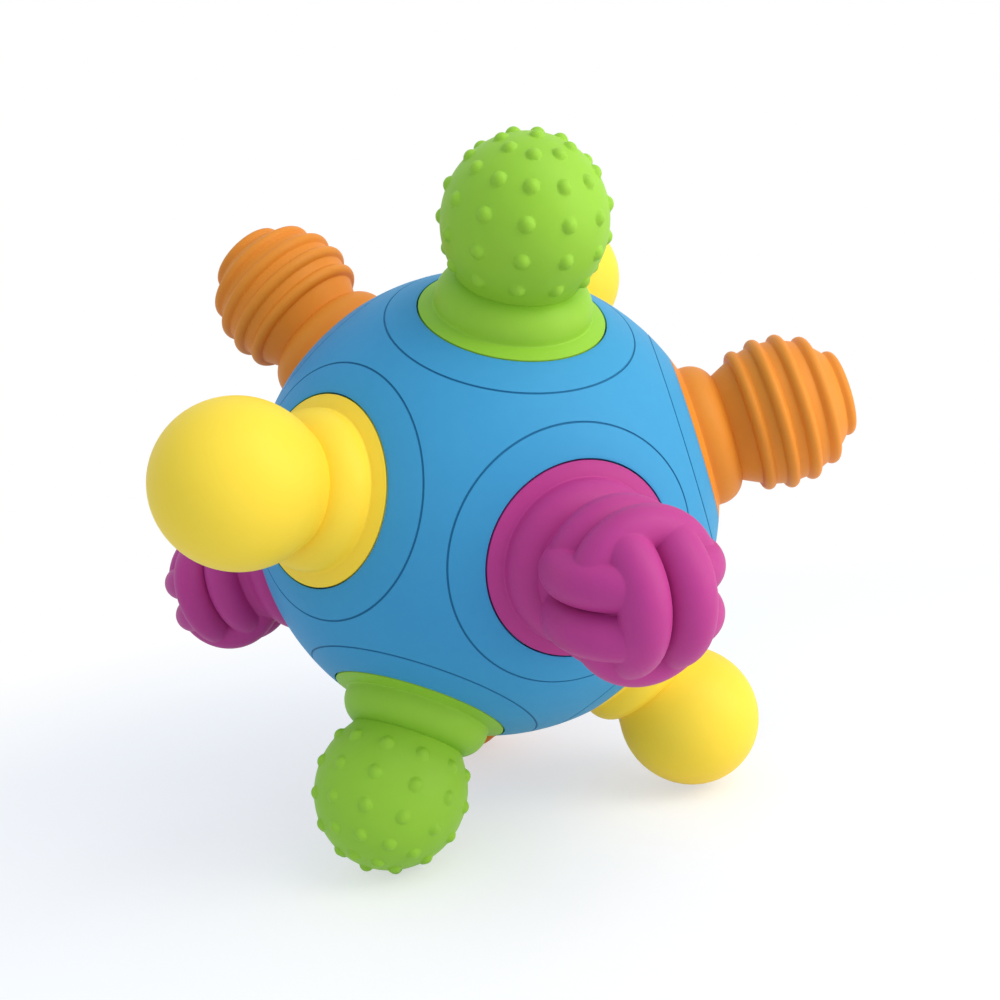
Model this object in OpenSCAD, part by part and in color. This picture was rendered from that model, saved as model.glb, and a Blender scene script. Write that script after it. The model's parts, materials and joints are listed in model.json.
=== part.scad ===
// Sensory ball for a baby: a hollow ball of two half shells that carries twelve knobs. Each knob turns
// on its own axis, which points out from the ball's centre, and the twelve axes are those of a regular
// icosahedron. A knob is a soft skin pulled over a hard stem, and a washer and a screw behind the ball's
// wall hold the stem in its bush. There are four kinds of skin: smooth, dotted, ribbed and knotted.
// The ball stands on three of its knobs, as it does in use. Lengths are in millimetres.

/* [Ball] */
// Outside radius of the ball
ball_r = 50; // [49:0.5:56]
// Wall of the two half shells
shell_wall = 3; // [2:0.1:3.4]
// Radius of the ring engraved round each knob
ring_r = 23.8; // [22:0.1:24.6]
// Width of the engraved ring
ring_w = 0.4; // [0.3:0.1:1]
// How far the locating tongues reach past the seam
tongue_len = 3; // [2:0.5:3.5]
// Wall of the locating tongues
tongue_wall = 2; // [1.2:0.1:2.6]
// Gap between a tongue and the wall that it locates
tongue_gap = 0.3; // [0.1:0.05:0.5]

/* [Knob seats] */
// Depth of a knob's seat, from the top of the ball down to the seat's floor
seat_depth = 5; // [4.2:0.1:5.6]
// Gap round the flange and beneath it
seat_gap = 0.3; // [0.1:0.05:0.5]
// Wall round the seat
cup_wall = 2; // [1.2:0.1:2.2]
// Thickness of the seat's floor
floor_t = 2.6; // [2:0.1:3.2]
// Radius of the stem's journal, which runs in the bush
journal_r = 6; // [4:0.1:7]
// Running gap between the journal and the bush
journal_gap = 0.08; // [0.02:0.01:0.1]
// Wall of the bush
bush_wall = 2.9; // [1.5:0.1:4]
// How far the bush stands in from the seat's floor
bush_len = 4.4; // [3:0.1:6]
// Play of a knob along its axis
end_play = 0.3; // [0.1:0.05:0.5]

/* [Knob skins] */
// Radius of the flange that lies flush in the ball
flange_r = 17.65; // [16.5:0.05:18.1]
// Radius of the collar above the flange
collar_r = 14.9; // [14:0.1:15.6]
// Height of the collar above the ball
collar_rise = 4; // [3:0.1:4.6]
// Radius that rounds the collar's upper edge
collar_round = 5.5; // [4:0.1:6]
// Radius of the neck under the head
neck_r = 11.45; // [10.9:0.05:12.5]
// Height of the head's centre above the ball
head_rise = 13.8; // [13.4:0.1:14.8]
// Thickness of the smooth head's skin
skin_wall = 2.9; // [2:0.1:3.2]
// Radius of the hole through the neck
neck_bore_r = 8.7; // [6:0.1:8.8]
// Gap between the skin and the stem inside it
insert_gap = 0.1; // [0.05:0.05:0.3]

/* [Smooth heads] */
// Radius of a smooth head
smooth_r = 14.8; // [14.2:0.1:15.4]

/* [Dotted heads] */
// Radius of a dotted head between its dots
dotted_r = 14.9; // [14.3:0.05:15.4]
// Radius of a dot where it leaves the head
dot_r = 1.3; // [0.8:0.05:1.8]
// Height of a dot
dot_rise = 0.8; // [0.4:0.05:1]
// Dots in each full row
dot_count = 12; // [8:1:14]
// Dots in the first row round the tip
tip_dot_count = 8; // [5:1:9]
// Angle that the row round the tip stands turned from the full rows
tip_dot_turn = 13; // [0:1:45]
// Rows of dots, with the single dot at the tip
dot_rows = 6; // [3:1:6]

/* [Ribbed heads] */
// Radius of a ribbed head between its ribs
ribbed_r = 14.6; // [14.1:0.1:15.2]
// Number of ribs
rib_count = 5; // [3:1:5]
// Radius of a rib's round section
rib_r = 1.25; // [0.8:0.05:1.6]
// Distance between ribs along the knob's axis
rib_pitch = 4.42; // [3.8:0.01:4.6]
// Distance from the head's centre back to the first rib
rib_start = 5.2; // [4:0.1:6]

/* [Knotted heads] */
// Radius over the strands
knot_r = 15.3; // [14.8:0.1:16]
// Radius of the round body under the strands
knot_core_r = 11.2; // [11:0.1:12]
// Thickness of the skin at the creases between the strands
knot_wall = 1.6; // [1.3:0.1:1.6]
// Radius of a strand
strand_r = 3.95; // [3.9:0.05:4.3]
// Distance between two strands that lie side by side
strand_pitch = 7.8; // [7.4:0.1:7.8]
// Radius of the bend in a strand
strand_bend_r = 8.9; // [8.2:0.1:9.7]

/* [Fasteners] */
// Radius of the retaining washer
washer_r = 9; // [8:0.1:10]
// Thickness of the washer
washer_t = 1.2; // [0.8:0.1:2]
// Radius of the screw's thread
screw_r = 1.5; // [1:0.1:2]
// Length of the screw under its head
screw_len = 10; // [6:0.5:14]
// Radius of the screw's head
screw_head_r = 3; // [2.4:0.1:4]
// Height of the screw's head
screw_head_h = 2; // [1.6:0.1:2.4]
// Clearance of the washer's hole and of the hole in the stem round the screw
screw_gap = 0.05; // [0.02:0.01:0.2]

/* [Hidden] */
// Polar angles of the twelve axes when three of them share the top: the upper three, the next three,
// and the same two rows mirrored below
top_polar = acos(sqrt((5 + 2 * sqrt(5)) / 15));
high_polar = acos(sqrt((5 - 2 * sqrt(5)) / 15));
low_polar = 180 - high_polar;
base_polar = 180 - top_polar;

// One row a knob: its name, its kind, the polar angle and the azimuth of its axis, and the angle that
// it stands turned about that axis
KNOBS = [
    ["dotted_top", "dotted", top_polar, 300, 6],
    ["ribbed_top", "ribbed", top_polar, 180, 0],
    ["smooth_top", "smooth", top_polar, 60, 0],
    ["smooth_left", "smooth", high_polar, 240, 0],
    ["ribbed_right", "ribbed", high_polar, 0, 0],
    ["dotted_rear", "dotted", high_polar, 120, 0],
    ["knotted_front", "knotted", low_polar, 300, 90],
    ["knotted_left", "knotted", low_polar, 180, 0],
    ["knotted_rear", "knotted", low_polar, 60, 0],
    ["dotted_base", "dotted", base_polar, 240, 60],
    ["smooth_base", "smooth", base_polar, 0, 0],
    ["ribbed_base", "ribbed", base_polar, 120, 0],
];
PIECES = ["skin", "stem", "washer", "screw"];

// The seam lies square to the axis of this knob, at the middle of the front half
seam_knob = KNOBS[6];

// Places along a knob's axis, measured from the ball's centre
seat_z = ball_r - seat_depth;
cup_z = seat_z - floor_t;
bush_z = cup_z - bush_len;
base_z = seat_z + seat_gap;
stem_z = bush_z - end_play;
washer_z = stem_z - washer_t;
collar_z = ball_r + collar_rise;
head_z = ball_r + head_rise;

// Radii that follow from the pieces around them
seat_r = flange_r + seat_gap;
cup_r = seat_r + cup_wall;
bush_r = journal_r + journal_gap + bush_wall;
waist_r = neck_bore_r - insert_gap;
collar_skin = 3.4;
collar_bore_r = collar_r - collar_skin;
plug_r = collar_bore_r - insert_gap;
plug_z = collar_z - collar_skin * 3 / 4;

// The stem's core is cut flat this far beyond the head's centre
core_flat = 2;
// Depth of the hole in the stem beyond the end of the screw
screw_spare = 1;
// Slots of the cross in the screw's head, and the radius of the head's domed top
cross_w = 0.9;
cross_len = 3.6;
cross_depth = 1.1;
dome_r = 4.5;

// Angles: from one row of dots to the next, half of a strand's bend, and the reach of a tongue
dot_row_angle = 23.1;
strand_half_angle = 62;
tongue_angle = 28;
// Cups in each half that come close to the seam
seam_cups = 5;
// How far a cut runs past the surface that it opens
overrun = 1;

skin_colour = [["smooth", "#f4da3c"], ["dotted", "#86c540"], ["ribbed", "#ec9032"], ["knotted", "#b03a8a"]];
shell_colour = "#3f9ccf";

function axis_of(knob) = [sin(knob[2]) * cos(knob[3]), sin(knob[2]) * sin(knob[3]), cos(knob[2])];
function in_front(knob) = axis_of(knob) * axis_of(seam_knob) > 0;
function colour_of(knob) = skin_colour[search([knob[1]], skin_colour)[0]][1];
function body_r(kind) =
    kind == "smooth" ? smooth_r : kind == "dotted" ? dotted_r : kind == "ribbed" ? ribbed_r : knot_core_r;
function cavity_r(kind) = kind == "knotted" ? knot_core_r - knot_wall : smooth_r - skin_wall;

$fn = 96;

// Puts its children on a knob's axis, with +Z out along the axis
module on_axis(knob) {
    rotate([0, knob[2], knob[3]])
        rotate(knob[4])
            children();
}

module rod(z, top_z, r) {
    translate([0, 0, z])
        cylinder(h = top_z - z, r = r);
}

// Ball: the half shells

module ring_cut() {
    along = sqrt(ball_r * ball_r - ring_r * ring_r);
    translate([0, 0, along])
        rotate_extrude()
            translate([ring_r, 0])
                circle(r = ring_w / 2, $fn = 24);
}

module seat_cut() {
    rod(seat_z, ball_r + overrun, seat_r);
    rod(bush_z - overrun, seat_z + overrun, journal_r + journal_gap);
}

module seat_body() {
    rod(cup_z, ball_r, cup_r);
    rod(bush_z, cup_z + floor_t / 2, bush_r);
}

// A ball whose poles lie on the seam knob's axis, where the seats cut them away
module ball(r) {
    on_axis(seam_knob)
        sphere(r = r);
}

module half_space(side) {
    on_axis(seam_knob)
        rotate([side > 0 ? 0 : 180, 0, 0])
            cylinder(h = ball_r + overrun, r = ball_r + overrun);
}

module half_shell(side) {
    mine = [for (knob = KNOBS) if (in_front(knob) == (side > 0)) knob];
    difference() {
        intersection() {
            union() {
                difference() {
                    ball(ball_r);
                    ball(ball_r - shell_wall);
                }
                intersection() {
                    ball(ball_r);
                    union()
                        for (knob = mine)
                            on_axis(knob)
                                seat_body();
                }
            }
            half_space(side);
        }
        for (knob = mine)
            on_axis(knob)
                seat_cut();
        for (knob = KNOBS)
            on_axis(knob)
                ring_cut();
    }
}

// Tongues of the rear half, which reach into the front half between its seats
module tongues() {
    outer = ball_r - shell_wall - tongue_gap;
    on_axis(seam_knob)
        for (turn = [0:seam_cups - 1])
            rotate(turn * 360 / seam_cups + 180 / seam_cups - tongue_angle / 2 + front_cup_turn())
                rotate_extrude(angle = tongue_angle)
                    union() {
                        translate([outer - tongue_wall, -tongue_len])
                            square([tongue_wall, 2 * tongue_len]);
                        translate([outer - tongue_wall, -tongue_len])
                            square([tongue_wall + shell_wall / 2, tongue_len]);
                    }
}

// Azimuth of a front seat in the seam knob's own frame
function front_cup_turn() = 180 - seam_knob[4];

module front_shell() {
    color(shell_colour)
        half_shell(1);
}

module rear_shell() {
    color(shell_colour)
        union() {
            half_shell(-1);
            tongues();
        }
}

// Heads of the skins, each about its own centre

module dotted_head() {
    dot_ball_r = (dot_r * dot_r + dot_rise * dot_rise) / (2 * dot_rise);
    sphere(r = dotted_r);
    for (row = [0:dot_rows - 1]) {
        count = row == 0 ? 1 : row == 1 ? tip_dot_count : dot_count;
        turn = row == 1 ? tip_dot_turn : 0;
        for (dot = [0:count - 1])
            rotate([0, row * dot_row_angle, dot * 360 / count + turn])
                translate([0, 0, dotted_r + dot_rise - dot_ball_r])
                    sphere(r = dot_ball_r, $fn = 24);
    }
}

module ribbed_head() {
    sphere(r = ribbed_r);
    for (rib = [0:rib_count - 1]) {
        along = rib * rib_pitch - rib_start;
        translate([0, 0, along])
            rotate_extrude()
                translate([sqrt(ribbed_r * ribbed_r - along * along), 0])
                    circle(r = rib_r, $fn = 32);
    }
}

// A bent strand that faces +X and runs along Y, set so that it reaches the knot's radius
module strand() {
    middle = sqrt(pow(knot_r - strand_r, 2) - pow(strand_pitch / 2, 2));
    translate([middle - strand_bend_r, 0, 0])
        rotate(-strand_half_angle)
            rotate_extrude(angle = 2 * strand_half_angle)
                translate([strand_bend_r, 0])
                    circle(r = strand_r, $fn = 48);
}

module strand_pair() {
    for (side = [-1, 1])
        translate([0, 0, side * strand_pitch / 2])
            strand();
}

// Pairs of strands on the tip and on the four sides, each pair square to the pairs beside it
module knotted_head() {
    sphere(r = knot_core_r);
    rotate([0, -90, 0])
        strand_pair();
    for (turn = [0, 180]) {
        rotate([90, 0, turn])
            strand_pair();
        rotate(turn + 90)
            strand_pair();
    }
}

module head(kind) {
    if (kind == "smooth")
        sphere(r = smooth_r);
    if (kind == "dotted")
        dotted_head();
    if (kind == "ribbed")
        ribbed_head();
    if (kind == "knotted")
        knotted_head();
}

// The neck, with the cone from its rim to where it touches the head's round body
module neck(kind) {
    r = body_r(kind);
    drop = head_z - collar_z;
    rim = norm([neck_r, drop]);
    rod(collar_z - collar_rise, collar_z, neck_r);
    if (rim > r) {
        angle = atan2(neck_r, drop) + acos(r / rim);
        top_z = head_z - r * cos(angle);
        translate([0, 0, collar_z])
            cylinder(h = top_z - collar_z, r1 = neck_r, r2 = r * sin(angle));
    }
}

// A disc whose upper edge is rounded
module collar() {
    rod(base_z, collar_z - collar_round, collar_r);
    rod(base_z, collar_z, collar_r - collar_round);
    intersection() {
        translate([0, 0, collar_z - collar_round])
            rotate_extrude()
                translate([collar_r - collar_round, 0])
                    circle(r = collar_round);
        rod(base_z, collar_z + overrun, collar_r + overrun);
    }
}

module flange() {
    intersection() {
        sphere(r = ball_r);
        rod(base_z, ball_r + overrun, flange_r);
    }
}

module knob_skin(knob) {
    color(colour_of(knob))
        on_axis(knob)
            difference() {
                union() {
                    flange();
                    collar();
                    neck(knob[1]);
                    translate([0, 0, head_z])
                        head(knob[1]);
                }
                rod(base_z - overrun, plug_z + insert_gap, collar_bore_r);
                rod(plug_z, head_z, neck_bore_r);
                translate([0, 0, head_z])
                    sphere(r = cavity_r(knob[1]));
            }
}

// The stem: journal, plug in the collar, waist in the neck and round core in the head
module knob_stem(knob) {
    core_r = cavity_r(knob[1]) - insert_gap;
    color("#e9e6dc")
        on_axis(knob)
            difference() {
                union() {
                    rod(stem_z, base_z + overrun, journal_r);
                    rod(base_z, plug_z, plug_r);
                    rod(plug_z - overrun, head_z - core_flat, waist_r);
                    intersection() {
                        translate([0, 0, head_z])
                            sphere(r = core_r);
                        rod(head_z - core_r, head_z + core_flat, core_r + overrun);
                    }
                }
                rod(stem_z - overrun, washer_z + screw_len + screw_spare, screw_r + screw_gap);
            }
}

module knob_washer(knob) {
    color("#c3c6ca")
        on_axis(knob)
            difference() {
                rod(washer_z, stem_z, washer_r);
                rod(washer_z - overrun, stem_z + overrun, screw_r + screw_gap);
            }
}

// A pan-head screw driven in from the ball's hollow
module knob_screw(knob) {
    color("#9a9da1")
        on_axis(knob)
            difference() {
                union() {
                    intersection() {
                        rod(washer_z - screw_head_h, washer_z, screw_head_r);
                        translate([0, 0, washer_z - screw_head_h + dome_r])
                            sphere(r = dome_r);
                    }
                    rod(washer_z - screw_head_h / 2, washer_z + screw_len - screw_r, screw_r);
                    translate([0, 0, washer_z + screw_len - screw_r])
                        cylinder(h = screw_r, r1 = screw_r, r2 = screw_r / 3);
                }
                for (turn = [0, 90])
                    translate([0, 0, washer_z - screw_head_h])
                        rotate(turn)
                            cube([cross_len, cross_w, 2 * cross_depth], center = true);
            }
}

front_shell();
rear_shell();
for (knob = KNOBS) {
    knob_skin(knob);
    knob_stem(knob);
    knob_washer(knob);
    knob_screw(knob);
}
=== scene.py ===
"""Sensory ball: the looks of a hollow blue ball with twelve soft, coloured, turning knobs.

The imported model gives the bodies, the knobs' axes and the hard inner parts. This script models what
shows: the two half shells with their seats and engraved rings, and the twelve soft skins in four
kinds. It then gives every surface its finish, lights the scene and places the camera.
"""

import json
import logging
import math
from dataclasses import dataclass
from enum import Enum
from typing import Any, Callable, Sequence

import bmesh
import bpy
import numpy as np
from bmesh.types import BMEdge, BMesh, BMFace
from bpy.types import ID, Material, Mesh, Node, NodeSocket, NodeTree, Object, World
from mathutils import Matrix, Vector


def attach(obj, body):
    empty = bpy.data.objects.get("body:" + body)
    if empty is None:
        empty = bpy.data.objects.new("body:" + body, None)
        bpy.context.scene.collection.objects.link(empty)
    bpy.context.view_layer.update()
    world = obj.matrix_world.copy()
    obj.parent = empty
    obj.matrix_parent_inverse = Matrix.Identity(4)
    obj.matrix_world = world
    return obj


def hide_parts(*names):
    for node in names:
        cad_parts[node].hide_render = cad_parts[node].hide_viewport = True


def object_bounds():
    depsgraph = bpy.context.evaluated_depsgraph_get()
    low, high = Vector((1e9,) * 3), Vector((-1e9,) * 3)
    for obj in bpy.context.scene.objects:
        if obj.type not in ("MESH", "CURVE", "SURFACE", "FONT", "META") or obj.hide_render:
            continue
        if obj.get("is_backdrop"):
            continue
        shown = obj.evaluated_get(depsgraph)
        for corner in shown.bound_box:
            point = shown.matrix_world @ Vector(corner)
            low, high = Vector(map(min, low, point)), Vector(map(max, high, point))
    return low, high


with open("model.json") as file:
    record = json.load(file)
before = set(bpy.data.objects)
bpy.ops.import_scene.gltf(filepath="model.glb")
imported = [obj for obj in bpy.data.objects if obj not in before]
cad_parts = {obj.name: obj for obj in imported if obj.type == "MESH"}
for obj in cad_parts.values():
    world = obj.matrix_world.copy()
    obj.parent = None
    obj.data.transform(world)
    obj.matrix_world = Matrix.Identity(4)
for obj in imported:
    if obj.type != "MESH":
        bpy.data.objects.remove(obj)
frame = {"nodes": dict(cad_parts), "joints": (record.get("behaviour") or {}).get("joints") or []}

LOG = logging.getLogger("sensory_ball")
MM = 0.001
ON_AXIS = 1e-6 * MM  # nearer than this, a profile's point lies on the axis
MIDDLE = 0.5  # the middle of a noise pattern, and of a share from 0 to 1
WHITE = (1.0, 1.0, 1.0)
SOCKET_TYPES = {int: "NodeSocketInt", float: "NodeSocketFloat", Object: "NodeSocketObject"}

Point = tuple[float, float]  # a profile's point: its distance from the axis and its height
Profile = list[Point]
Colour = tuple[float, float, float]
Inputs = dict[Any, Any]  # what goes into sockets, by name or number


class Kind(Enum):
    """The four kinds of knob, by the form of the head."""

    SMOOTH = "smooth"
    DOTTED = "dotted"
    RIBBED = "ribbed"
    KNOTTED = "knotted"


class Graph:
    """A node tree, shader or geometry, with short ways to add nodes and links."""

    def __init__(self, tree: NodeTree) -> None:
        """Wraps the node tree to build in."""
        self.tree = tree

    def node(self, kind: str, inputs: Inputs | None = None, **settings: Any) -> Node:
        """Adds a node.

        Args:
            kind: The node's type, such as "ShaderNodeMath".
            inputs: What goes into its sockets.
            **settings: The node's own settings, which are set before its sockets.

        Returns:
            The new node.
        """
        made = self.tree.nodes.new(kind)
        for key, value in settings.items():
            setattr(made, key, value)
        self.feed(made, inputs or {})
        return made

    def feed(self, node: Node, inputs: Inputs) -> None:
        """Sets a node's sockets or links them.

        Args:
            node: The node.
            inputs: Plain values, terms, sockets, or nodes, which stand for their first output.
        """
        for key, value in inputs.items():
            if isinstance(value, Term):
                value = value.socket
            elif isinstance(value, Node):
                value = value.outputs[0]
            if isinstance(value, NodeSocket):
                self.tree.links.new(value, node.inputs[key])
            else:
                node.inputs[key].default_value = value

    def term(self, socket: NodeSocket) -> "Term":
        """Wraps one of the tree's sockets as a term of a sum."""
        return Term(self, socket)

    def math(self, operation: str, *values: Any) -> "Term":
        """Adds a Math node with its operation and its one to three inputs."""
        made = self.node("ShaderNodeMath", dict(enumerate(values)), operation=operation)
        return self.term(made.outputs[0])

    def split(self, vector: Any) -> tuple["Term", "Term", "Term"]:
        """Splits a vector into its three parts."""
        x, y, z = self.node("ShaderNodeSeparateXYZ", {0: vector}).outputs
        return self.term(x), self.term(y), self.term(z)

    def place(self) -> NodeSocket:
        """The place on the object, in a material."""
        return self.node("ShaderNodeTexCoord").outputs["Object"]

    def noise(self, place: Any, scale: float, detail: float) -> "Term":
        """A noise pattern at a place, with its waves in a metre and its number of finer layers."""
        made = self.node("ShaderNodeTexNoise", {"Vector": place, "Scale": scale, "Detail": detail})
        return self.term(made.outputs[0])

    def mix_colour(self, share: Any, low: Any, high: Any) -> "Term":
        """Mixes two colours, with the share of the second, which the node keeps from 0 to 1."""
        inputs = {0: share, 6: opaque(low), 7: opaque(high)}
        return self.term(self.node("ShaderNodeMix", inputs, data_type="RGBA").outputs[2])


def maths(operation: str, swapped: bool = False) -> Callable[..., "Term"]:
    """Makes a method of a term that adds a Math node.

    Args:
        operation: The Math node's operation.
        swapped: Whether the method's own term comes after the other.

    Returns:
        The method.
    """

    def method(self: "Term", *others: Any) -> "Term":
        """The operation on this term and the others."""
        return self.graph.math(operation, *((*others, self) if swapped else (self, *others)))

    return method


class Term:
    """A socket that takes part in sums, so that node maths reads as Python."""

    def __init__(self, graph: Graph, socket: NodeSocket) -> None:
        """Wraps an output socket of a graph."""
        self.graph = graph
        self.socket = socket

    __add__ = __radd__ = maths("ADD")
    __sub__ = maths("SUBTRACT")
    __rsub__ = maths("SUBTRACT", swapped=True)
    __mul__ = __rmul__ = maths("MULTIPLY")
    __truediv__ = maths("DIVIDE")
    __rtruediv__ = maths("DIVIDE", swapped=True)
    __abs__ = maths("ABSOLUTE")
    least = maths("MINIMUM")
    most = maths("MAXIMUM")
    below = maths("LESS_THAN")
    above = maths("GREATER_THAN")
    rounded = maths("ROUND")
    root = maths("SQRT")
    sine = maths("SINE")
    cosine = maths("COSINE")
    angle = maths("ARCTAN2")  # whose tangent is this over the other
    blended_with = maths("SMOOTH_MIN")  # the smaller, with the crease rounded over a width

    def between(self, low: Any, high: Any) -> "Term":
        """This, kept from low to high."""
        return self.most(low).least(high)


Place = tuple[Term, Term, Term]
Sizes = dict[str, Term]


def opaque(colour: Any) -> Any:
    """A colour with full cover, as a socket takes it. A term stays as it is."""
    return colour if isinstance(colour, Term) else (*colour, 1.0)


def length_of(*parts: Term) -> Term:
    """The length of a vector given by its parts."""
    squares = [part * part for part in parts]
    return sum(squares[1:], start=squares[0]).root()


def emptied(owner: Material | World) -> Graph:
    """Clears the nodes of a material or a world.

    Args:
        owner: The material or world.

    Returns:
        The graph of its empty tree.
    """
    owner.use_nodes = True
    owner.node_tree.nodes.clear()
    return Graph(owner.node_tree)


def geometry_tree(name: str, inputs: Inputs) -> tuple[Graph, Sizes]:
    """Starts a geometry tree with named inputs.

    Args:
        name: The tree's name.
        inputs: The inputs' values, by name.

    Returns:
        The tree's graph and its inputs as terms, with the geometry among them.
    """
    tree = bpy.data.node_groups.new(name, "GeometryNodeTree")
    tree.interface.new_socket("Geometry", in_out="INPUT", socket_type="NodeSocketGeometry")
    for key, value in inputs.items():
        kind = next(found for form, found in SOCKET_TYPES.items() if isinstance(value, form))
        socket = tree.interface.new_socket(key, in_out="INPUT", socket_type=kind)
        if not isinstance(value, Object):
            socket.default_value = value
    tree.interface.new_socket("Geometry", in_out="OUTPUT", socket_type="NodeSocketGeometry")
    graph = Graph(tree)
    entry = graph.node("NodeGroupInput")
    return graph, {key: graph.term(entry.outputs[key]) for key in ("Geometry", *inputs)}


def end_in_material(graph: Graph, geometry: Node, finish: Material) -> None:
    """Ends a geometry tree with one material on all that it makes."""
    dressed = graph.node("GeometryNodeSetMaterial", {"Geometry": geometry, "Material": finish})
    graph.node("NodeGroupOutput", {0: dressed})


def baked(source: Object, graph: Graph, inputs: Inputs) -> Mesh:
    """Runs a geometry tree on an object and keeps the mesh that it gives.

    Args:
        source: The object that the tree starts from, which is removed.
        graph: The tree's graph.
        inputs: The values of the tree's inputs, by name.

    Returns:
        The plain mesh.
    """
    modifier = source.modifiers.new(graph.tree.name, "NODES")
    modifier.node_group = graph.tree
    for item in graph.tree.interface.items_tree:
        if item.name in inputs:
            modifier[item.identifier] = inputs[item.name]
    bpy.context.view_layer.update()
    evaluated = bpy.context.evaluated_depsgraph_get()
    mesh = bpy.data.meshes.new_from_object(source.evaluated_get(evaluated), depsgraph=evaluated)
    bpy.data.objects.remove(source)
    return mesh


def linked(name: str, data: ID) -> Object:
    """Makes an object at the origin and links it to the scene.

    Args:
        name: The object's name.
        data: Its mesh, camera or light.

    Returns:
        The new object.
    """
    made = bpy.data.objects.new(name, data)
    bpy.context.scene.collection.objects.link(made)
    return made


def mesh_object(name: str, points: Any, faces: Sequence[Sequence[int]]) -> Object:
    """Makes a mesh object at the origin.

    Args:
        name: The object's name.
        points: Its vertices.
        faces: Its faces, as lists of vertex numbers.

    Returns:
        The new object.
    """
    mesh = bpy.data.meshes.new(name)
    mesh.from_pydata([tuple(p) for p in points], [], faces)
    mesh.update()
    return linked(name, mesh)


def mark(made: Object, name: str, values: np.ndarray) -> None:
    """Gives a mesh object's points a named number each."""
    made.data.attributes.new(name, "FLOAT", "POINT").data.foreach_set("value", values)


def shade(mesh: Mesh, sharp_angle: float) -> None:
    """Shades a mesh smooth, with hard edges past an angle.

    Args:
        mesh: The mesh.
        sharp_angle: The angle between faces past which an edge stays hard, in radians.
    """
    mesh.polygons.foreach_set("use_smooth", [True] * len(mesh.polygons))
    mesh.set_sharp_from_angle(angle=sharp_angle)
    mesh.update()


def arc(centre: Point, radius: float, start: float, end: float, steps: int) -> Profile:
    """Points along an arc of a profile.

    Args:
        centre: The arc's centre.
        radius: The arc's radius.
        start: The first angle in degrees, where 0 points away from the axis and 90 points up.
        end: The last angle in degrees.
        steps: How many steps it takes.

    Returns:
        The points, first and last included.
    """
    turns = [math.radians(start + (end - start) * step / steps) for step in range(steps + 1)]
    return [(centre[0] + radius * math.cos(t), centre[1] + radius * math.sin(t)) for t in turns]


def on_ball(radius: float, angle: float) -> Point:
    """The profile point of a sphere at an angle in degrees from the knob's axis."""
    return radius * math.sin(math.radians(angle)), radius * math.cos(math.radians(angle))


def angle_at(distance: float, radius: float) -> float:
    """The angle in degrees from the axis at which a sphere is a distance away from it."""
    return math.degrees(math.asin(distance / radius))


def lathe(profile: Profile, columns: int) -> tuple[np.ndarray, list[tuple[int, ...]]]:
    """Turns a profile about the Z axis.

    Args:
        profile: The points. Where one lies on the axis, the surface closes there in a fan.
        columns: How many columns go round.

    Returns:
        The points and the faces.
    """
    turns = np.arange(columns) * math.tau / columns
    rows: list[list[int]] = []
    points: list[tuple[float, float, float]] = []
    for distance, height in profile:
        if distance < ON_AXIS:
            rows.append([len(points)] * columns)
            points.append((0.0, 0.0, height))
            continue
        rows.append(list(range(len(points), len(points) + columns)))
        points += [(distance * math.cos(t), distance * math.sin(t), height) for t in turns]
    faces = []
    for lower, upper in zip(rows, rows[1:]):
        for k in range(columns):
            after = (k + 1) % columns
            face = tuple(dict.fromkeys([lower[k], lower[after], upper[after], upper[k]]))
            if len(face) > 2:
                faces.append(face)
    return np.array(points), faces


@dataclass(frozen=True)
class Plastic:
    """A moulded finish: one even colour with faint cloudiness, fine grain and a soft sheen.

    The clouds and the finer specks run between the colour and a deeper one. A finish can also darken
    the engraved rings with painted shade, following a mark on the mesh.
    """

    name: str
    colour: Colour
    deep: Colour
    grain: float = 0.016 * MM
    specular: float = 0.2
    # the colour of the painted shade in the engraved rings, or None for no painted shade
    painted_groove_shade: Colour | None = None
    roughness: float = 0.5
    cloud_scale: float = 38.0
    speck_scale: float = 532.0
    grain_scale: float = 1500.0
    cloud_colour: float = 0.9
    speck_colour: float = 0.5
    cloud_shine: float = 0.16
    grain_shine: float = 0.12
    speck_bump: float = 0.6
    bump: float = 0.35

    def material(self) -> Material:
        """Builds the finish.

        Returns:
            The material.
        """
        made = bpy.data.materials.new(self.name)
        graph = emptied(made)
        place = graph.place()
        clouds = graph.noise(place, self.cloud_scale, 3.0)
        specks = graph.noise(place, self.speck_scale, 2.0)
        grain = graph.noise(place, self.grain_scale, 2.0)
        cloudy = (clouds - MIDDLE) * self.cloud_colour + (specks - MIDDLE) * self.speck_colour
        colour = graph.mix_colour(cloudy + MIDDLE, self.deep, self.colour)
        # painted shade: the engraved rings are darkened towards the shade colour, more where a row
        # lies deeper in the ring
        if self.painted_groove_shade:
            groove_shade_mask = graph.node("ShaderNodeAttribute", attribute_name="painted_groove_shade").outputs["Fac"]
            colour = graph.mix_colour(groove_shade_mask, colour, self.painted_groove_shade)
        shine = (clouds - MIDDLE) * self.cloud_shine + (grain - MIDDLE) * self.grain_shine
        height = grain + specks * self.speck_bump
        bump = {"Strength": self.bump, "Distance": self.grain, "Height": height}
        inputs = {
            "Base Color": colour,
            "Roughness": shine + self.roughness,
            "Normal": graph.node("ShaderNodeBump", bump),
            "Specular IOR Level": self.specular,
        }
        shader = graph.node("ShaderNodeBsdfPrincipled", inputs)
        graph.node("ShaderNodeOutputMaterial", {"Surface": shader})
        return made


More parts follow.
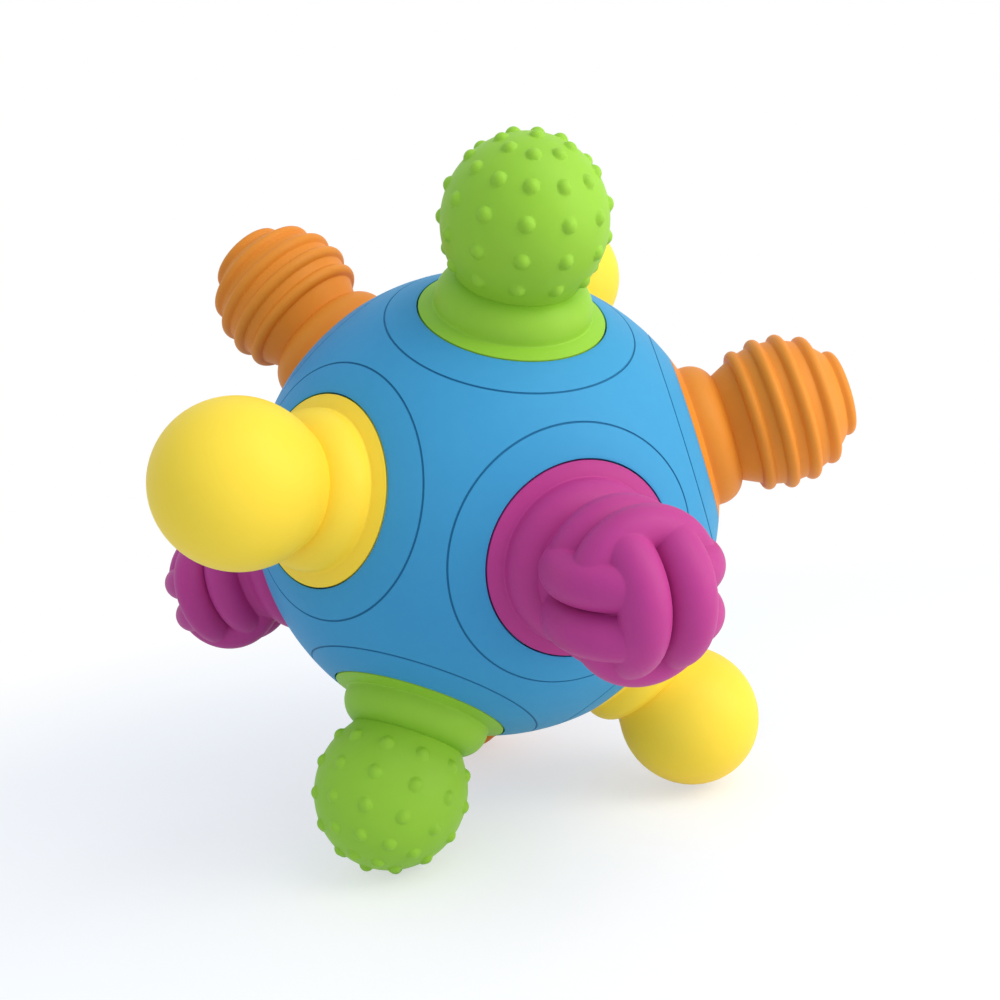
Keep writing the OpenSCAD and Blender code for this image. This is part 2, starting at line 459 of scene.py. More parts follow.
@dataclass(frozen=True)
class PlatedSteel:
    """Zinc-plated steel: a pale grey metal with fine turned lines and faint blotches."""

    name: str
    colour: Colour
    roughness: float
    dark_share: float = 0.72
    blotch_scale: float = 420.0
    blotch_shine: float = 0.2
    line_scale: float = 2600.0
    line_depth: float = 0.02 * MM
    bump: float = 0.3

    def material(self) -> Material:
        """Builds the finish.

        Returns:
            The material.
        """
        made = bpy.data.materials.new(self.name)
        graph = emptied(made)
        place = graph.place()
        blotches = graph.noise(place, self.blotch_scale, 3.0)
        lines = graph.noise(place, self.line_scale, 1.0)
        dark = tuple(c * self.dark_share for c in self.colour)
        bump = {"Strength": self.bump, "Distance": self.line_depth, "Height": lines}
        inputs = {
            "Base Color": graph.mix_colour(blotches, dark, self.colour),
            "Metallic": 1.0,
            "Roughness": blotches * self.blotch_shine + self.roughness,
            "Normal": graph.node("ShaderNodeBump", bump),
        }
        shader = graph.node("ShaderNodeBsdfPrincipled", inputs)
        graph.node("ShaderNodeOutputMaterial", {"Surface": shader})
        return made


BLUE_SHELL = Plastic(
    "blue_shell",
    (0.057, 0.330, 0.590),
    (0.047, 0.297, 0.556),
    grain=0.02 * MM,
    specular=0.1,
    # the colour of the painted shade in the engraved rings
    painted_groove_shade=(0.018, 0.16, 0.32),
)
INNER_FINISHES = {
    "stem": Plastic("stem_plastic", (0.82, 0.80, 0.74), (0.76, 0.74, 0.67), grain=0.02 * MM),
    "washer": PlatedSteel("washer_steel", (0.60, 0.61, 0.63), 0.30),
    "screw": PlatedSteel("screw_steel", (0.42, 0.43, 0.45), 0.34),
}
RUBBERS = {
    Kind.SMOOTH: Plastic("yellow_rubber", (0.99, 0.725, 0.060), (0.975, 0.685, 0.046)),
    Kind.DOTTED: Plastic("green_rubber", (0.309, 0.582, 0.042), (0.273, 0.545, 0.036)),
    Kind.RIBBED: Plastic("orange_rubber", (0.781, 0.270, 0.029), (0.744, 0.245, 0.023)),
    Kind.KNOTTED: Plastic("purple_rubber", (0.493, 0.048, 0.258), (0.455, 0.039, 0.232)),
}


@dataclass
class BallSizes:
    """Sizes that the ball and its knobs share, in metres."""

    ball_r: float = 50 * MM
    wall: float = 3 * MM
    seat_r: float = 17.95 * MM
    seat_z: float = 45 * MM
    flange_r: float = 17.65 * MM
    base_z: float = 45.3 * MM
    collar_r: float = 14.9 * MM
    collar_top: float = 54 * MM
    collar_round: float = 5.5 * MM
    collar_bore: float = 11.5 * MM
    plug_z: float = 51.55 * MM
    neck_r: float = 11.45 * MM
    neck_bore: float = 8.7 * MM
    head_z: float = 63.8 * MM
    cavity_r: float = 11.9 * MM
    knot_cavity_r: float = 9.6 * MM


@dataclass
class HeadRelief:
    """The form of each kind of head, as a distance that a geometry tree works out at every point.

    Points of the skin's head start on a sphere outside it and slide in along their own ray from the
    head's centre until the distance to the head is nought.
    """

    sizes: BallSizes
    smooth_r: float = 14.8 * MM
    dotted_r: float = 14.9 * MM
    ribbed_r: float = 14.6 * MM
    knot_r: float = 15.3 * MM
    knot_core_r: float = 11.2 * MM
    dot_r: float = 1.3 * MM
    dot_rise: float = 0.8 * MM
    dot_rows: int = 6
    dot_row_angle: float = 23.1
    dot_count: int = 12
    tip_dot_count: int = 8
    tip_dot_turn: float = 13.0
    rib_count: int = 5
    rib_r: float = 1.25 * MM
    rib_pitch: float = 4.42 * MM
    rib_start: float = 5.2 * MM
    strand_r: float = 3.95 * MM
    strand_pitch: float = 7.8 * MM
    strand_bend_r: float = 8.9 * MM
    strand_half_angle: float = 62.0
    dot_blend: float = 0.08 * MM
    rib_blend: float = 0.5 * MM
    strand_blend: float = 0.12 * MM
    slides: int = 16

    def body_r(self, kind: Kind) -> float:
        """The radius of a head's round body, under what stands on it."""
        radii = (self.smooth_r, self.dotted_r, self.ribbed_r, self.knot_core_r)
        return dict(zip(Kind, radii))[kind]

    def tree(self, kind: Kind, finish: Material) -> Graph:
        """Builds the geometry tree that gives a skin its head.

        Args:
            kind: The kind of head.
            finish: The skin's material.

        Returns:
            The tree's graph, with the sizes that its kind uses as named inputs.
        """
        graph, sizes = geometry_tree(f"{kind.value}_head", self.inputs(kind))
        start = graph.node("GeometryNodeRepeatInput")
        stop = graph.node("GeometryNodeRepeatOutput")
        start.pair_with_output(stop)
        graph.feed(start, {"Iterations": sizes["Slides"], "Geometry": sizes["Geometry"]})
        x, y, z = graph.split(graph.node("GeometryNodeInputPosition"))
        up = z - sizes["Head Height"]
        step = self.distance(kind, sizes, (x, y, up)) / length_of(x, y, up)
        back = {0: x * step * -1, 1: y * step * -1, 2: up * step * -1}
        flag = graph.node("GeometryNodeInputNamedAttribute", {"Name": "head"}, data_type="FLOAT")
        slide = {
            "Geometry": start.outputs["Geometry"],
            "Selection": graph.term(flag.outputs[0]).above(MIDDLE),
            "Offset": graph.node("ShaderNodeCombineXYZ", back),
        }
        graph.feed(stop, {"Geometry": graph.node("GeometryNodeSetPosition", slide)})
        realized = graph.node("GeometryNodeRealizeInstances", {0: stop.outputs["Geometry"]})
        end_in_material(graph, realized, finish)
        return graph

    def inputs(self, kind: Kind) -> Inputs:
        """Lists the named inputs of a kind's tree.

        Args:
            kind: The kind of head.

        Returns:
            The inputs' values, by name.
        """
        own = {
            Kind.DOTTED: {
                "Dot Radius": self.dot_r,
                "Dot Rise": self.dot_rise,
                "Rows": self.dot_rows,
                "Row Angle": math.radians(self.dot_row_angle),
                "Dots In A Row": self.dot_count,
                "Dots Round The Tip": self.tip_dot_count,
                "Turn Round The Tip": math.radians(self.tip_dot_turn),
            },
            Kind.RIBBED: {
                "Ribs": self.rib_count,
                "Rib Radius": self.rib_r,
                "Rib Pitch": self.rib_pitch,
                "Rib Start": self.rib_start,
            },
            Kind.KNOTTED: {
                "Knot Radius": self.knot_r,
                "Strand Radius": self.strand_r,
                "Strand Pitch": self.strand_pitch,
                "Bend Radius": self.strand_bend_r,
                "Half Angle": math.radians(self.strand_half_angle),
            },
        }
        shared = {"Slides": self.slides, "Head Height": self.sizes.head_z}
        return shared | {"Body Radius": self.body_r(kind)} | own.get(kind, {})

    def distance(self, kind: Kind, sizes: Sizes, place: Place) -> Term:
        """The distance from a place to the head's surface.

        Args:
            kind: The kind of head.
            sizes: The tree's inputs.
            place: The place, from the head's centre.

        Returns:
            The distance, positive outside.
        """
        across, up = length_of(place[0], place[1]), place[2]
        body = length_of(*place) - sizes["Body Radius"]
        head = body.least(self.neck(kind, across, up))
        if kind is Kind.DOTTED:
            return head.blended_with(self.nearest_dot(sizes, place), self.dot_blend)
        if kind is Kind.RIBBED:
            return head.blended_with(self.nearest_rib(sizes, across, up), self.rib_blend)
        if kind is Kind.KNOTTED:
            return head.blended_with(self.strands(sizes, place), self.strand_blend)
        return head

    def neck(self, kind: Kind, across: Term, up: Term) -> Term:
        """The distance to the cone that joins the neck to the head's round body.

        Args:
            kind: The kind of head.
            across: The place's distance from the knob's axis.
            up: Its height over the head's centre.

        Returns:
            The distance.
        """
        body_r, tilt = self.body_r(kind), self.neck_tilt(kind)
        side = across * math.sin(tilt) - up * math.cos(tilt) - body_r
        return side.most(up + body_r * math.cos(tilt))

    def neck_tilt(self, kind: Kind) -> float:
        """The angle in radians between the cone of a kind's neck and the head's middle plane."""
        reach, drop = self.sizes.neck_r, self.sizes.head_z - self.sizes.collar_top
        return math.atan2(reach, drop) + math.acos(self.body_r(kind) / math.hypot(reach, drop))

    def crease(self, kind: Kind) -> Point:
        """The place where the neck's cone meets the collar's round top.

        Args:
            kind: The kind of head.

        Returns:
            The place.
        """
        s, tilt = self.sizes, self.neck_tilt(kind)
        across, up = s.collar_r - s.collar_round, s.collar_top - s.collar_round - s.head_z
        gap = across * math.sin(tilt) - up * math.cos(tilt) - self.body_r(kind)
        run = math.sqrt(s.collar_round**2 - gap**2)
        across += run * math.cos(tilt) - gap * math.sin(tilt)
        up += run * math.sin(tilt) + gap * math.cos(tilt)
        return across, up + s.head_z

    def nearest_dot(self, sizes: Sizes, place: Place) -> Term:
        """The distance to the ball that the nearest dot is part of.

        Row 0 is the one dot at the tip, and row 1 has a number of dots and a turn of its own.

        Args:
            sizes: The tree's inputs.
            place: The place, from the head's centre.

        Returns:
            The distance.
        """
        x, y, z = place
        row = (length_of(x, y).angle(z) / sizes["Row Angle"]).rounded().least(sizes["Rows"] - 1)
        is_tip = row.below(0.5)
        is_round_tip = row.below(1.5) - is_tip
        is_full = 1 - is_tip - is_round_tip
        some = is_tip + is_round_tip * sizes["Dots Round The Tip"]
        cell = math.tau / (some + is_full * sizes["Dots In A Row"])
        turn = is_round_tip * sizes["Turn Round The Tip"]
        around = ((y.angle(x) - turn) / cell).rounded() * cell + turn
        polar = row * sizes["Row Angle"]
        rise = sizes["Dot Rise"]
        ball_r = (sizes["Dot Radius"] * sizes["Dot Radius"] + rise * rise) / (rise * 2)
        reach = sizes["Body Radius"] + rise - ball_r
        flat = polar.sine() * reach
        over, beside = x - flat * around.cosine(), y - flat * around.sine()
        return length_of(over, beside, z - polar.cosine() * reach) - ball_r

    def nearest_rib(self, sizes: Sizes, across: Term, up: Term) -> Term:
        """The distance to the round section of the nearest rib.

        Args:
            sizes: The tree's inputs.
            across: The place's distance from the knob's axis.
            up: Its height over the head's centre.

        Returns:
            The distance.
        """
        number = ((up + sizes["Rib Start"]) / sizes["Rib Pitch"]).rounded()
        number = number.between(0.0, sizes["Ribs"] - 1)
        along = number * sizes["Rib Pitch"] - sizes["Rib Start"]
        seat = (sizes["Body Radius"] * sizes["Body Radius"] - along * along).root()
        return length_of(across - seat, up - along) - sizes["Rib Radius"]

    def strands(self, sizes: Sizes, place: Place) -> Term:
        """The distance to the nearest strand of a knot.

        The tip and each side carry a pair of bent strands, square to the pairs beside them.

        Args:
            sizes: The tree's inputs.
            place: The place, from the head's centre.

        Returns:
            The distance.
        """
        x, y, z = place
        tip = self.strand(sizes, z, y, abs(x))
        sides = self.strand(sizes, abs(x), z, abs(y))
        fronts = self.strand(sizes, abs(y), x, abs(z))
        return tip.blended_with(sides, self.strand_blend).blended_with(fronts, self.strand_blend)

    def strand(self, sizes: Sizes, out: Term, along: Term, side: Term) -> Term:
        """The distance to the round section of one strand.

        Args:
            sizes: The tree's inputs.
            out: The place along the direction that the strand faces.
            along: The place along the direction that it runs in.
            side: The place along the direction in which its pair lies side by side.

        Returns:
            The distance.
        """
        half_pitch = sizes["Strand Pitch"] / 2
        crest = sizes["Knot Radius"] - sizes["Strand Radius"]
        bend = sizes["Bend Radius"]
        middle = (crest * crest - half_pitch * half_pitch).root() - bend
        most = sizes["Half Angle"]
        turn = along.angle(out - middle).between(most * -1, most)
        over, past = out - middle - bend * turn.cosine(), along - bend * turn.sine()
        return length_of(over, past, side - half_pitch) - sizes["Strand Radius"]


# A kind's columns round the axis, and its rows from the crease under the head to the tip.
SKIN_GRIDS = {
    Kind.SMOOTH: (128, 64),
    Kind.DOTTED: (300, 132),
    Kind.RIBBED: (160, 230),
    Kind.KNOTTED: (340, 160),
}


@dataclass
class Skins:
    """The soft skins of the knobs: one mesh for each kind, on the Z axis."""

    sizes: BallSizes
    relief: HeadRelief
    start_r: float = 16.6 * MM
    edge_round: float = 0.12 * MM
    foot_round: float = 0.35 * MM
    edge_steps: int = 5
    flange_steps: int = 4
    foot_steps: int = 6
    collar_steps: int = 26
    cavity_steps: int = 30
    weld: float = 0.002 * MM
    sharp_angle: float = math.radians(28)

    def outer_profile(self, crease: Point) -> Profile:
        """Draws the skin's outside from the collar's bore up to the crease under the head.

        Args:
            crease: The crease.

        Returns:
            The profile.
        """
        s, edge_r, foot_r = self.sizes, self.edge_round, self.foot_round
        edge_angle = angle_at(s.flange_r - edge_r, s.ball_r)
        foot_angle = angle_at(s.collar_r + foot_r, s.ball_r)
        edge, foot = on_ball(s.ball_r, edge_angle), on_ball(s.ball_r, foot_angle)
        profile = [(s.collar_bore, s.base_z), (s.flange_r - edge_r, s.base_z)]
        profile += [(s.flange_r, s.base_z + edge_r)]
        profile += arc((edge[0], edge[1] - edge_r), edge_r, 0.0, 90.0, self.edge_steps)
        steps, span = self.flange_steps, foot_angle - edge_angle
        profile += [on_ball(s.ball_r, edge_angle + span * k / steps) for k in range(1, steps)]
        profile += arc((foot[0], foot[1] + foot_r), foot_r, 270.0, 180.0, self.foot_steps)
        middle = (s.collar_r - s.collar_round, s.collar_top - s.collar_round)
        crease_angle = math.degrees(math.atan2(crease[1] - middle[1], crease[0] - middle[0]))
        return profile + arc(middle, s.collar_round, 0.0, crease_angle, self.collar_steps)

    def inner_profile(self, kind: Kind) -> Profile:
        """Draws the skin's inside from the cavity's tip down to the collar's bore.

        Args:
            kind: The kind of knob.

        Returns:
            The profile.
        """
        s = self.sizes
        cavity_r = s.knot_cavity_r if kind is Kind.KNOTTED else s.cavity_r
        last = angle_at(s.neck_bore, cavity_r) - 90.0
        profile = arc((0.0, s.head_z), cavity_r, 90.0, last, self.cavity_steps)
        profile[0] = (0.0, profile[0][1])
        profile += [(s.neck_bore, s.plug_z), (s.collar_bore, s.plug_z), (s.collar_bore, s.base_z)]
        return profile

    def kind_mesh(self, kind: Kind) -> Mesh:
        """Makes a kind's skin on the Z axis.

        Args:
            kind: The kind of knob.

        Returns:
            The finished mesh, with its material.
        """
        columns, rows = SKIN_GRIDS[kind]
        crease = self.relief.crease(kind)
        outer = self.outer_profile(crease)
        head_z = self.sizes.head_z
        last = 180.0 - math.degrees(math.atan2(crease[0], head_z - crease[1]))
        head = arc((0.0, head_z), self.start_r, 90.0 - last, 90.0, rows)
        head[-1] = (0.0, head[-1][1])
        points, faces = lathe(outer + head + self.inner_profile(kind), columns)
        blank = mesh_object(f"{kind.value}_blank", points, faces)
        is_head = np.zeros(len(points), np.float32)
        first = len(outer) * columns
        is_head[first : first + rows * columns + 1] = 1.0
        mark(blank, "head", is_head)
        tree = self.relief.tree(kind, RUBBERS[kind].material())
        mesh = baked(blank, tree, self.relief.inputs(kind))
        self.close(mesh)
        shade(mesh, self.sharp_angle)
        return mesh

    def close(self, mesh: Mesh) -> None:
        """Welds the lathe's ends and turns the faces outwards.

        Args:
            mesh: The mesh to mend.
        """
        work = bmesh.new()
        work.from_mesh(mesh)
        bmesh.ops.remove_doubles(work, verts=work.verts, dist=self.weld)
        bmesh.ops.recalc_face_normals(work, faces=work.faces)
        work.to_mesh(mesh)
        work.free()


@dataclass(frozen=True)
class Knob:
    """One knob: its body's name, its kind, and how it stands turned about its axis in degrees."""

    name: str
    kind: Kind
    turn: float = 0.0

    def axis(self) -> Vector:
        """The knob's axis, out from the ball's centre, read from its joint."""
        joint = next(j for j in frame["joints"] if j["child"] == self.name)
        return Vector(joint["axis"]).normalized()

    def placing(self) -> Matrix:
        """Works out how a skin made on the Z axis turns to this knob's axis.

        Returns:
            The matrix.
        """
        axis = self.axis()
        azimuth = math.atan2(axis.y, axis.x)
        polar = math.acos(axis.z)
        turned = Matrix.Rotation(math.radians(self.turn), 4, "Z")
        return Matrix.Rotation(azimuth, 4, "Z") @ Matrix.Rotation(polar, 4, "Y") @ turned

    def dress(self, mesh: Mesh, inner: dict[str, Material]) -> Object:
        """Sets this knob's skin in place and gives its hard inner parts their finishes.

        Args:
            mesh: The skin of its kind, made on the Z axis.
            inner: The finishes of the inner parts, by the end of the part's name.

        Returns:
            The skin.
        """
        own = mesh.copy()
        own.transform(self.placing())
        skin = linked(f"{self.name}_soft_skin", own)
        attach(skin, self.name)
        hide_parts(f"{self.name}_skin")
        for part, finish in inner.items():
            materials = frame["nodes"][f"{self.name}_{part}"].data.materials
            materials.clear()
            materials.append(finish)
        return skin


KNOBS = (
    Knob("dotted_top", Kind.DOTTED, 6.0),
    Knob("ribbed_top", Kind.RIBBED),
    Knob("smooth_top", Kind.SMOOTH),
    Knob("smooth_left", Kind.SMOOTH),
    Knob("ribbed_right", Kind.RIBBED),
    Knob("dotted_rear", Kind.DOTTED),
    Knob("knotted_front", Kind.KNOTTED, 90.0),
    Knob("knotted_left", Kind.KNOTTED),
    Knob("knotted_rear", Kind.KNOTTED),
    Knob("dotted_base", Kind.DOTTED, 60.0),
    Knob("smooth_base", Kind.SMOOTH),
    Knob("ribbed_base", Kind.RIBBED),
)
SEAM_KNOB = "knotted_front"  # the front half is on this knob's side of the seam


@dataclass
class BallShell:
    """The blue ball: two half shells with twelve seats, bushes behind them and engraved rings."""

    sizes: BallSizes
    ring_r: float = 23.8 * MM
    ring_w: float = 0.4 * MM
    ring_depth: float = 0.12 * MM
    rim_round: float = 0.05 * MM
    floor_t: float = 2.6 * MM
    cup_r: float = 19.95 * MM
    bush_r: float = 8.98 * MM
    bore_r: float = 6.08 * MM
    bush_len: float = 4.4 * MM
    patch_angle: float = 30.3
    columns: int = 180
    ring_steps: int = 8
    band_steps: int = 8
    rim_steps: int = 6
    inside_steps: int = 4
    filler_count: int = 5000
    filler_margin: float = 0.9
    edge_reach: float = 0.02 * MM
    weld: float = 0.001 * MM
    seam_reach: float = 0.0005 * MM
    seam_gap: float = 0.01 * MM
    tongue_len: float = 3 * MM
    tongue_wall: float = 2 * MM
    tongue_gap: float = 0.3 * MM
    tongue_angle: float = 28.0
    tongue_count: int = 5
    tongue_steps: int = 14
    sharp_angle: float = math.radians(32)

    def ring_shares(self, profile: Profile) -> list[float]:
        """Works out how deep the rows of a seat's profile lie in the engraved ring, which sets how
        much painted shade the ring gets.

        Args:
            profile: The seat's profile.

        Returns:
            Each row's share of the full depth, from 0 to 1.
        """
        depths = [self.sizes.ball_r - math.hypot(*point) for point in profile]
        near = [abs(point[0] - self.ring_r) < self.ring_w for point in profile]
        return [min(1.0, max(0.0, d / self.ring_depth)) if n else 0.0 for d, n in zip(depths, near)]

    def seat_profile(self) -> Profile:
        """Draws a seat's section: over the ring and rim, down the seat, through the bush and out.

        Returns:
            The profile, from the wall's outside to its inside.
        """
        s, rim_r = self.sizes, self.rim_round
        ring_angle = angle_at(self.ring_r, s.ball_r)
        half_ring = math.degrees(self.ring_w / 2 / s.ball_r)
        before, after = ring_angle + half_ring, ring_angle - half_ring
        rim_angle = angle_at(s.seat_r + rim_r, s.ball_r)
        rim = on_ball(s.ball_r, rim_angle)
        cup_z, inner_r = s.seat_z - self.floor_t, s.ball_r - s.wall
        cup_angle = angle_at(self.cup_r, inner_r)
        band, inside = rim_angle - after, self.patch_angle - cup_angle
        halfway = self.patch_angle + (before - self.patch_angle) / 2
        profile = [on_ball(s.ball_r, angle) for angle in (self.patch_angle, halfway)]
        ring = on_ball(s.ball_r, ring_angle)
        profile += arc(ring, self.ring_w / 2, -ring_angle, -ring_angle - 180.0, self.ring_steps)
        steps = self.band_steps
        profile += [on_ball(s.ball_r, after + band * k / steps) for k in range(1, steps)]
        profile += arc((rim[0], rim[1] - rim_r), rim_r, 90.0, 180.0, self.rim_steps)
        profile += [(s.seat_r, s.seat_z), (self.bore_r, s.seat_z)]
        profile += [(self.bore_r, cup_z - self.bush_len), (self.bush_r, cup_z - self.bush_len)]
        profile += [(self.bush_r, cup_z), (self.cup_r, cup_z)]
        steps = self.inside_steps
        profile += [on_ball(inner_r, cup_angle + inside * k / steps) for k in range(steps + 1)]
        return profile

    def seats(self, finish: Material) -> Mesh:
        """Sets a seat on each of the twelve axes with a geometry tree.

        Args:
            finish: The shells' material.

        Returns:
            The twelve seats in one mesh, open where the wall between them goes.
        """
        profile = self.seat_profile()
        patch = mesh_object("seat_patch", *lathe(profile, self.columns))
        # the rows' depth in the ring is the mask of the painted shade in the rings
        shares = np.array(self.ring_shares(profile), np.float32)
        mark(patch, "painted_groove_shade", np.repeat(shares, self.columns))
        axes = mesh_object("seat_axes", [knob.axis() * MM for knob in KNOBS], [])
        inputs = {"Seat": patch, "Weld Distance": self.weld}
        graph, given = geometry_tree("seats", inputs)
        place = graph.node("GeometryNodeInputPosition")
        facing = graph.node("FunctionNodeAlignRotationToVector", {"Vector": place}, axis="Z")
        shape = graph.node("GeometryNodeObjectInfo", {"Object": given["Seat"]}).outputs["Geometry"]
        back = graph.node("ShaderNodeVectorMath", {0: place, "Scale": -1.0}, operation="SCALE")
        spots = {"Points": given["Geometry"], "Instance": shape, "Rotation": facing}
        spread = graph.node("GeometryNodeInstanceOnPoints", spots)
        centring = {"Instances": spread, "Translation": back, "Local Space": False}
        centred = graph.node("GeometryNodeTranslateInstances", centring)
        realized = graph.node("GeometryNodeRealizeInstances", {0: centred})
        weld = {"Geometry": realized, "Distance": given["Weld Distance"]}
        end_in_material(graph, graph.node("GeometryNodeMergeByDistance", weld), finish)
        mesh = baked(axes, graph, inputs)
        bpy.data.objects.remove(patch)
        return mesh

    def wall_between(self, work: BMesh, radius: float) -> None:
        """Fills the ball's wall between the seats at one radius.

        The seats' edges and an even spread of points between them are spanned by their hull, which
        on a ball joins each point to its true neighbours.

        Args:
            work: The mesh that holds the seats, which gains the faces.
            radius: The radius of the wall's outside or inside.
        """
        axes = [knob.axis() for knob in KNOBS]
        limit = math.cos(math.radians(self.patch_angle + self.filler_margin))
        edge = [v for v in work.verts if v.is_boundary]
        edge = [v for v in edge if abs(v.co.length - radius) < self.edge_reach]
        owner = {v: max(range(len(axes)), key=lambda k: axes[k].dot(v.co)) for v in edge}
        golden = math.pi * (3 - math.sqrt(5))
        loose = []
        for k in range(self.filler_count):
            height = 1 - 2 * (k + 0.5) / self.filler_count
            flat = math.sqrt(1 - height * height)
            spot = Vector((flat * math.cos(golden * k), flat * math.sin(golden * k), height))
            if max(axis.dot(spot) for axis in axes) < limit:
                loose.append(work.verts.new(spot * radius))
        hull = bmesh.ops.convex_hull(work, input=edge + loose)["geom"]
        faces = [face for face in hull if isinstance(face, BMFace)]
        owners = [{owner.get(v) for v in face.verts} for face in faces]
        lids = [face for face, own in zip(faces, owners) if len(own) == 1 and None not in own]
        bmesh.ops.delete(work, geom=lids, context="FACES")

    def half(self, whole: BMesh, normal: Vector) -> BMesh:
        """Cuts the ball's wall down to one half and closes it at the seam.

        Args:
            whole: The whole wall.
            normal: The direction from the seam into this half.

        Returns:
            The half, closed.
        """
        work = whole.copy()
        cut = bmesh.ops.bisect_plane(
            work,
            geom=work.verts[:] + work.edges[:] + work.faces[:],
            dist=self.seam_reach,
            plane_co=normal * self.seam_gap,
            plane_no=normal,
            clear_inner=True,
        )
        rim = [e for e in cut["geom_cut"] if isinstance(e, BMEdge) and e.is_boundary]
        bmesh.ops.triangle_fill(work, edges=rim, normal=-normal)
        return work

    def tongues(self, work: BMesh, normal: Vector) -> None:
        """Adds the locating tongues to the rear half.

        Args:
            work: The rear half, which gains the tongues.
            normal: The direction from the seam towards the front half.
        """
        outer = self.sizes.ball_r - self.sizes.wall - self.tongue_gap
        inner, deep = outer - self.tongue_wall, outer + self.sizes.wall / 2
        foot = -self.seam_gap * 2
        outline = [(inner, -self.tongue_len), (deep, -self.tongue_len), (deep, foot)]
        outline += [(outer, foot), (outer, self.tongue_len), (inner, self.tongue_len)]
        near = (k.axis() for k in KNOBS if k.axis().dot(normal) > 0.1 and k.name != SEAM_KNOB)
        neighbour = next(near)
        ahead = (neighbour - normal * neighbour.dot(normal)).normalized()
        aside = normal.cross(ahead)
        for tongue in range(self.tongue_count):
            middle = (tongue + 0.5) * 360.0 / self.tongue_count
            rows = []
            for step in range(self.tongue_steps + 1):
                share = step / self.tongue_steps - 0.5
                turn = math.radians(middle + self.tongue_angle * share)
                way = ahead * math.cos(turn) + aside * math.sin(turn)
                rows.append([work.verts.new(way * r + normal * h) for r, h in outline])
            for before, after in zip(rows, rows[1:]):
                for k in range(len(outline)):
                    nxt = (k + 1) % len(outline)
                    work.faces.new((before[k], before[nxt], after[nxt], after[k]))
            work.faces.new(rows[0][::-1])
            work.faces.new(rows[-1])

    def build(self) -> list[Object]:
        """Makes the two half shells.

        Returns:
            The front and the rear half.
        """
        finish = BLUE_SHELL.material()
        whole = bmesh.new()
        whole.from_mesh(self.seats(finish))
        for radius in (self.sizes.ball_r, self.sizes.ball_r - self.sizes.wall):
            self.wall_between(whole, radius)
        slits = [e for e in whole.edges if e.is_boundary]
        bmesh.ops.holes_fill(whole, edges=slits, sides=3)
        bmesh.ops.recalc_face_normals(whole, faces=whole.faces)
        towards = next(k.axis() for k in KNOBS if k.name == SEAM_KNOB)
        shells = []
        for name, normal in (("front_shell", towards), ("rear_shell", -towards)):
            work = self.half(whole, normal)
            if normal is not towards:
                self.tongues(work, towards)
            bmesh.ops.recalc_face_normals(work, faces=work.faces)
            mesh = bpy.data.meshes.new(f"{name}_wall")
            work.to_mesh(mesh)
            work.free()
            mesh.materials.append(finish)
            shade(mesh, self.sharp_angle)
            shell = linked(f"{name}_wall", mesh)
            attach(shell, "root")
            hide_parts(name)
            shells.append(shell)
        whole.free()
        return shells


@dataclass(frozen=True)
class Lamp:
    """A square soft lamp that faces the ball, with its place and its side in ball radii."""

    name: str
    place: tuple[float, float, float]
    side: float
    watts: float
    colour: Colour = (1.0, 0.95, 0.84)

    def hang(self, ball_r: float) -> None:
        """Hangs the lamp.

        Args:
            ball_r: The ball's radius.
        """
        data = bpy.data.lights.new(self.name, "AREA")
        data.size = self.side * ball_r
        data.energy = self.watts
        data.color = self.colour
        lamp = linked(self.name, data)
        lamp.location = Vector(self.place) * ball_r
        lamp.rotation_euler = (-lamp.location).to_track_quat("-Z", "Y").to_euler()


LAMPS = (
    Lamp("key", (8.8, -2.8, 3.8), 5.0, 0.71),
    Lamp("low_side", (8.5, -1.0, -1.0), 6.0, 0.58),
    Lamp("top_side", (5.5, -3.5, 7.0), 6.0, 0.73),
)


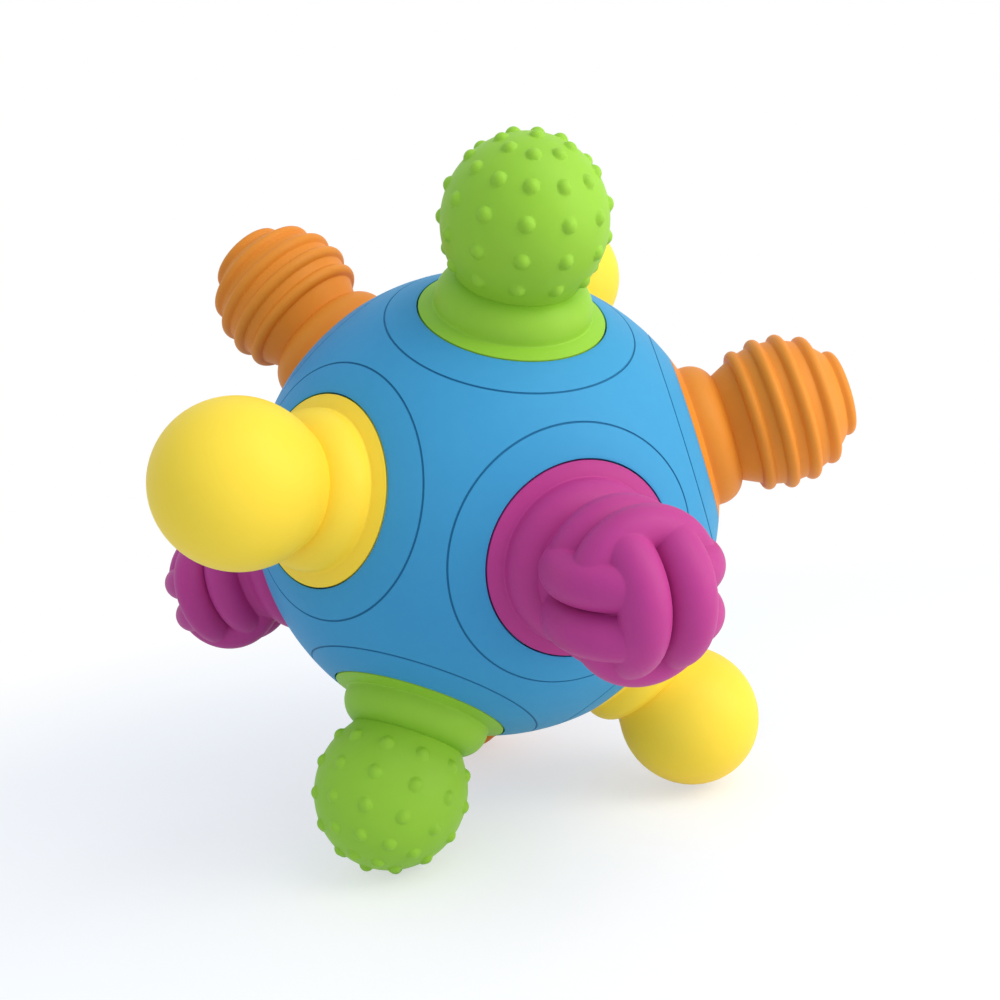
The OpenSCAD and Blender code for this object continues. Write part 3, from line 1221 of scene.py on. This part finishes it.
@dataclass
class Studio:
    """The camera at the photograph's angle, a plain pale floor and soft light.

    The camera's place is in ball radii, and its angles are in degrees.
    """

    sizes: BallSizes
    place: tuple[float, float, float] = (0.7154, -3.9235, 0.2831)
    azimuth: float = 11.336
    elevation: float = 5.617
    roll: float = -7.330
    lens: float = 32.502
    sensor: float = 36.0
    shift: tuple[float, float] = (0.0273, 0.0305)
    clip_start: float = 0.01
    floor_r: float = 6.0
    floor_columns: int = 64
    paper: float = 0.92
    near_paper: float = 0.5
    near_glow: float = 0.55
    near_r: float = 0.15
    sky: Colour = (0.87, 0.99, 1.17)
    sky_strength: float = 0.667

    def seen(self, graph: Graph) -> Term:
        """Tells the rays that show the white background: from the camera, gloss and glass.

        Args:
            graph: The graph of the floor's material or the world.

        Returns:
            One for those rays, and zero for the rays that light the scene.
        """
        path = graph.node("ShaderNodeLightPath").outputs
        direct = graph.term(path["Is Camera Ray"]).most(path["Is Glossy Ray"])
        return direct.most(path["Is Transmission Ray"])

    def camera(self) -> None:
        """Places the camera."""
        data = bpy.data.cameras.new("camera")
        data.lens = self.lens
        data.sensor_width = self.sensor
        data.shift_x, data.shift_y = self.shift
        data.clip_start = self.clip_start
        camera = linked("camera", data)
        camera.location = Vector(self.place) * self.sizes.ball_r
        turned = Matrix.Rotation(math.radians(self.azimuth), 4, "Z")
        turned = turned @ Matrix.Rotation(math.radians(90 - self.elevation), 4, "X")
        turned = turned @ Matrix.Rotation(math.radians(self.roll), 4, "Z")
        camera.rotation_euler = turned.to_euler()
        bpy.context.scene.camera = camera

    def floor(self, height: float) -> None:
        """Lays the floor, which is white but for a faint shadow near the ball.

        Args:
            height: The height of the object's lowest point.
        """
        outline = [(0.0, height), (self.floor_r, height)]
        floor = mesh_object("floor", *lathe(outline, self.floor_columns))
        made = bpy.data.materials.new("floor")
        graph = emptied(made)
        x, y, _ = graph.split(graph.place())
        far = ((length_of(x, y) - self.near_r) / self.near_r).between(0.0, 1.0)
        white, glow = (
            graph.node("ShaderNodeEmission", {"Color": opaque(WHITE), "Strength": strength})
            for strength in (1.0, self.near_glow)
        )
        paper, shaded = (
            graph.node("ShaderNodeBsdfDiffuse", {"Color": (grey, grey, grey, 1.0)})
            for grey in (self.paper, self.near_paper)
        )
        near = graph.node("ShaderNodeAddShader", {0: shaded, 1: glow})
        shown = graph.node("ShaderNodeMixShader", {0: far, 1: near, 2: white})
        both = graph.node("ShaderNodeMixShader", {0: self.seen(graph), 1: paper, 2: shown})
        graph.node("ShaderNodeOutputMaterial", {"Surface": both})
        floor.data.materials.append(made)
        floor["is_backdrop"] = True

    def world(self) -> None:
        """Lights the scene evenly from all round, with a white background."""
        world = bpy.data.worlds.new("studio")
        bpy.context.scene.world = world
        graph = emptied(world)
        light, white = (
            graph.node("ShaderNodeBackground", {"Color": opaque(colour), "Strength": strength})
            for colour, strength in ((self.sky, self.sky_strength), (WHITE, 1.0))
        )
        both = graph.node("ShaderNodeMixShader", {0: self.seen(graph), 1: light, 2: white})
        graph.node("ShaderNodeOutputWorld", {"Surface": both})

    def build(self, height: float) -> None:
        """Sets up the camera, the floor and the light.

        Args:
            height: The height of the object's lowest point.
        """
        self.camera()
        self.floor(height)
        self.world()
        for lamp in LAMPS:
            lamp.hang(self.sizes.ball_r)
        bpy.context.scene.view_settings.view_transform = "Standard"


def corners(bounds: Any) -> list[list[float]]:
    """A box's corners as plain lists of numbers."""
    return [[float(c) for c in corner] for corner in bounds]


def main() -> None:
    """Builds the object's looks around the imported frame."""
    logging.basicConfig(level=logging.INFO, format="%(message)s")
    frame_box = corners(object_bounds())
    sizes = BallSizes()
    Studio(sizes).build(frame_box[0][2])
    pieces = BallShell(sizes).build()
    skins = Skins(sizes, HeadRelief(sizes))
    meshes = {kind: skins.kind_mesh(kind) for kind in Kind}
    inner = {part: finish.material() for part, finish in INNER_FINISHES.items()}
    pieces += [knob.dress(meshes[knob.kind], inner) for knob in KNOBS]
    for piece in pieces:
        LOG.info("%s: %d faces", piece.name, len(piece.data.polygons))


if __name__ == "__main__":
    main()
